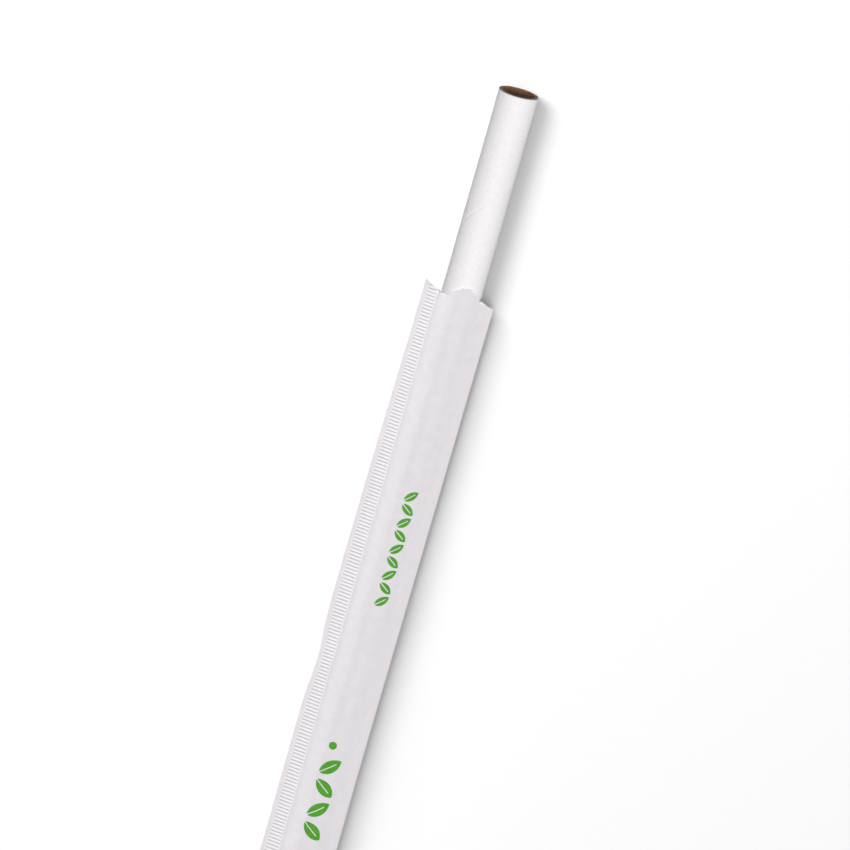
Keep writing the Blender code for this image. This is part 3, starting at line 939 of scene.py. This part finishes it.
def end_ribbon(y):
    """The crimped closed end at y, from the cut edges across to the fold."""
    edge = fin_edge(y)
    tops, bottoms = [], []
    for step in range(END_COLUMNS + 1):
        x = edge + (FLAT_FOLD - edge) * step / END_COLUMNS
        press = ridge_strength(x - edge - CRIMP_MARGIN, FLAT_FOLD - SEAL_MARGIN - x)
        press *= ease((y - END_Y - SEAL_MARGIN + CRIMP_FADE) / CRIMP_FADE)
        tops.append((x, 0.0, FIN_TOP, press))
        bottoms.append((x, 0.0, FIN_RISE, press))
    return tops, bottoms


lines = []
for number in range(math.ceil((TEAR_Y + TEAR_REACH - RIDGES_Y) / CRIMP_PITCH), -1, -1):
    for phase in reversed(CRIMP_PHASES):
        lines.append(RIDGES_Y + CRIMP_PITCH * (number + phase))
edge_strip = crimped_strip("crimped_edge", lines, edge_ribbon, cut_at_tear=True)
apply_nodes(edge_strip, ridge_nodes, ridge_values)
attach(edge_strip, "root")
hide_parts("wrapper")
paper_group.objects.link(edge_strip)

lines = [SEAL_Y + STRIP_LAP]
number = 0
while RIDGES_Y - CRIMP_PITCH * (number + 1) > END_Y + SEAL_MARGIN * 0.6:
    for phase in CRIMP_PHASES:
        lines.append(RIDGES_Y - CRIMP_PITCH * (number + phase))
    number += 1
lines += [END_Y + SEAL_MARGIN * 0.5, END_Y]
end_strip = crimped_strip("crimped_end", lines, end_ribbon, cut_at_tear=False)
apply_nodes(end_strip, ridge_nodes, ridge_values)
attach(end_strip, "root")
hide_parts("wrapper")
paper_group.objects.link(end_strip)

# The torn fibres
# Paper tears along its fibres, so their loose ends stand out from the torn edge as a fine
# white fringe.
FIBRE_SPACING = 0.00006
FIBRE_LENGTH = 0.00022
FIBRE_THICKNESS = 0.000016
FIBRE_ROOT = 0.00002  # how far below the torn line the fibres are rooted
FIBRE_TONES = ((0.86, 0.855, 0.865), (0.92, 0.915, 0.92))

fibre_white, tree, shader = new_material("fibre_white", roughness=0.9, specular=0.1)
place = tree.nodes.new("ShaderNodeTexCoord").outputs["Object"]
fibre_tone = add_noise(tree, place, 2000.0)
tree.links.new(add_mix(tree, fibre_tone, *FIBRE_TONES), shader.inputs["Base Color"])

# Short bent hairs stand on every point of the torn line, each turned and scaled at random.
fibre_nodes, fibre_inputs, start, end = new_tree("torn_fibres", ("Spacing", "Length", "Thickness"))
nodes, links = fibre_nodes.nodes, fibre_nodes.links
line = nodes.new("GeometryNodeMeshToCurve")
links.new(start.outputs["Geometry"], line.inputs["Mesh"])
spaced = nodes.new("GeometryNodeResampleCurve")
spaced.mode = "LENGTH"
links.new(line.outputs[0], spaced.inputs["Curve"])
links.new(start.outputs["Spacing"], spaced.inputs["Length"])
hair = nodes.new("GeometryNodeCurveQuadraticBezier")
hair.inputs["Resolution"].default_value = 3
hair.inputs["Start"].default_value = (0.0, -0.15, 0.0)
hair.inputs["Middle"].default_value = (0.06, 0.5, 0.12)
hair.inputs["End"].default_value = (-0.10, 1.0, -0.05)
grown = nodes.new("ShaderNodeVectorMath")
grown.operation = "SCALE"
grown.inputs[0].default_value = (1.0, 1.0, 1.0)
links.new(start.outputs["Length"], grown.inputs["Scale"])
sized = nodes.new("GeometryNodeTransform")
links.new(hair.outputs[0], sized.inputs["Geometry"])
links.new(grown.outputs[0], sized.inputs["Scale"])
profile = nodes.new("GeometryNodeCurvePrimitiveCircle")
profile.inputs["Resolution"].default_value = 3
links.new(start.outputs["Thickness"], profile.inputs["Radius"])
solid = nodes.new("GeometryNodeCurveToMesh")
solid.inputs["Fill Caps"].default_value = True
links.new(sized.outputs[0], solid.inputs["Curve"])
links.new(profile.outputs[0], solid.inputs["Profile Curve"])
turned = nodes.new("FunctionNodeRandomValue")
turned.data_type = "FLOAT_VECTOR"
turned.inputs["Min"].default_value = (-0.5, -0.6, -1.1)
turned.inputs["Max"].default_value = (0.25, 0.6, 1.1)
turned.inputs["Seed"].default_value = 11
scaled = nodes.new("FunctionNodeRandomValue")
scaled.inputs[2].default_value = 0.25
scaled.inputs[3].default_value = 1.0
scaled.inputs["Seed"].default_value = 12
placed = nodes.new("GeometryNodeInstanceOnPoints")
links.new(spaced.outputs[0], placed.inputs["Points"])
links.new(solid.outputs[0], placed.inputs["Instance"])
links.new(turned.outputs[0], placed.inputs["Rotation"])
links.new(scaled.outputs[1], placed.inputs["Scale"])
end_tree(fibre_nodes, start, end, placed.outputs[0])

edge_mesh = bpy.data.meshes.new("torn_fibres")
fringe = [(x, y - FIBRE_ROOT, z - PAPER / 2) for x, y, z in torn_edge[: len(full_upper)]]
edge_mesh.from_pydata(fringe, [(i, i + 1) for i in range(len(fringe) - 1)], [])
fibres = bpy.data.objects.new("torn_fibres", edge_mesh)
bpy.context.scene.collection.objects.link(fibres)
edge_mesh.materials.append(fibre_white)
fibre_values = {
    fibre_inputs["Spacing"]: FIBRE_SPACING,
    fibre_inputs["Length"]: FIBRE_LENGTH,
    fibre_inputs["Thickness"]: FIBRE_THICKNESS,
    fibre_inputs["Paper"]: fibre_white,
}
apply_nodes(fibres, fibre_nodes, fibre_values)
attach(fibres, "root")
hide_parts("wrapper")
paper_group.objects.link(fibres)

# The print
# Plain green leaves along the sheet's upper layer, printed in one water-based ink that has
# sunk a little into the paper.
INK_RISE = 0.000015
INK = ((0.075, 0.335, 0.022), (0.10, 0.40, 0.035))
MARK_STEP = 0.00010  # the size of the faces that make up a mark
NUDGE = 1e-7  # the step by which an outline's slope is found
LEAF_TILT = 38.0
MIDRIB = 0.00008  # half the width of the bare line along a leaf's middle
MIDRIB_END = 0.5  # where that line ends, as a share of the way from the middle to the tip
DOT_RADIUS = 0.00060
DOT_BELOW_MOUTH = 0.1028
DOT_REACH = 0.0008
# Rows of leaves: how many, across and below the mouth, pitch, half length, half width, reach
LEAF_ROWS = (
    (9, 0.0011, 0.063035, 0.00207, 0.00128, 0.00062, 0.0013),
    (4, 0.0005, 0.1061, 0.0034, 0.0019, 0.00095, 0.0020),
)

ink_green, tree, shader = new_material("ink_green", roughness=0.7, specular=0.2)
place = tree.nodes.new("ShaderNodeTexCoord").outputs["Object"]
ink_tone = add_noise(tree, place, 2600.0)
tree.links.new(add_mix(tree, ink_tone, *INK), shader.inputs["Base Color"])


def on_sheet(across, y):
    """The point of the sheet's outer face this far round from its top, lifted by the ink."""
    angle = across / HUG_RADIUS
    radius = HUG_RADIUS + crease_lift(HUG_RADIUS * math.sin(angle), y) + INK_RISE
    return (AXIS_X + radius * math.sin(angle), y, AXIS_Z + radius * math.cos(angle))


def add_mark(shape, across, down, outline, reach):
    """One printed mark, which reaches no further than reach from its middle.

    The outline gives how far a point lies outside the mark, below 0 inside it. Square
    faces fill it, and their corners on its rim are moved onto the outline.
    """
    count = math.ceil(2 * reach / MARK_STEP)
    cell = 2 * reach / count
    chosen = set()
    for i in range(count):
        for j in range(count):
            if outline((i + 0.5) * cell - reach, (j + 0.5) * cell - reach) < 0:
                chosen.add((i, j))
    made = {}
    for i, j in sorted(chosen):
        corners = []
        for p, q in ((i, j), (i + 1, j), (i + 1, j + 1), (i, j + 1)):
            if (p, q) not in made:
                a, b = p * cell - reach, q * cell - reach
                around = {(p - 1, q - 1), (p, q - 1), (p - 1, q), (p, q)}
                if not around <= chosen:
                    for _ in range(3):
                        off = outline(a, b)
                        slope_a = (outline(a + NUDGE, b) - off) / NUDGE
                        slope_b = (outline(a, b + NUDGE) - off) / NUDGE
                        steep = max(slope_a * slope_a + slope_b * slope_b, 0.2)
                        a, b = a - off * slope_a / steep, b - off * slope_b / steep
                made[p, q] = shape.verts.new(on_sheet(across + a, MOUTH_Y - down - b))
            corners.append(made[p, q])
        shape.faces.new(corners)


def leaf(long_half, wide_half, tilt):
    """A leaf's outline: where two circles overlap, less a thin line along its middle."""
    radius = (long_half**2 + wide_half**2) / (2 * wide_half)
    turn_cos, turn_sin = math.cos(math.radians(tilt)), math.sin(math.radians(tilt))

    def outline(a, b):
        along = a * turn_cos + b * turn_sin
        aside = abs(b * turn_cos - a * turn_sin)
        blade = math.hypot(along, aside + radius - wide_half) - radius
        past = max(along - long_half * MIDRIB_END, 0.0)
        return max(blade, MIDRIB - math.hypot(past, aside))

    return outline


def dot(a, b):
    """A round dot's outline."""
    return math.hypot(a, b) - DOT_RADIUS


shape = bmesh.new()


def add_leaves(count, across, first, pitch, long_half, wide_half, reach):
    """One row of leaves, turned to either side in turn."""
    for number in range(count):
        tilt = LEAF_TILT if number % 2 else -LEAF_TILT
        add_mark(shape, across, first + pitch * number, leaf(long_half, wide_half, tilt), reach)


add_leaves(*LEAF_ROWS[0])
add_mark(shape, 0.0, DOT_BELOW_MOUTH, dot, DOT_REACH)
add_leaves(*LEAF_ROWS[1])
marks = make_piece("print_marks", shape, ink_green)
if marks.data.polygons[0].normal.z < 0:
    marks.data.flip_normals()
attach(marks, "root")
paper_group.objects.link(marks)
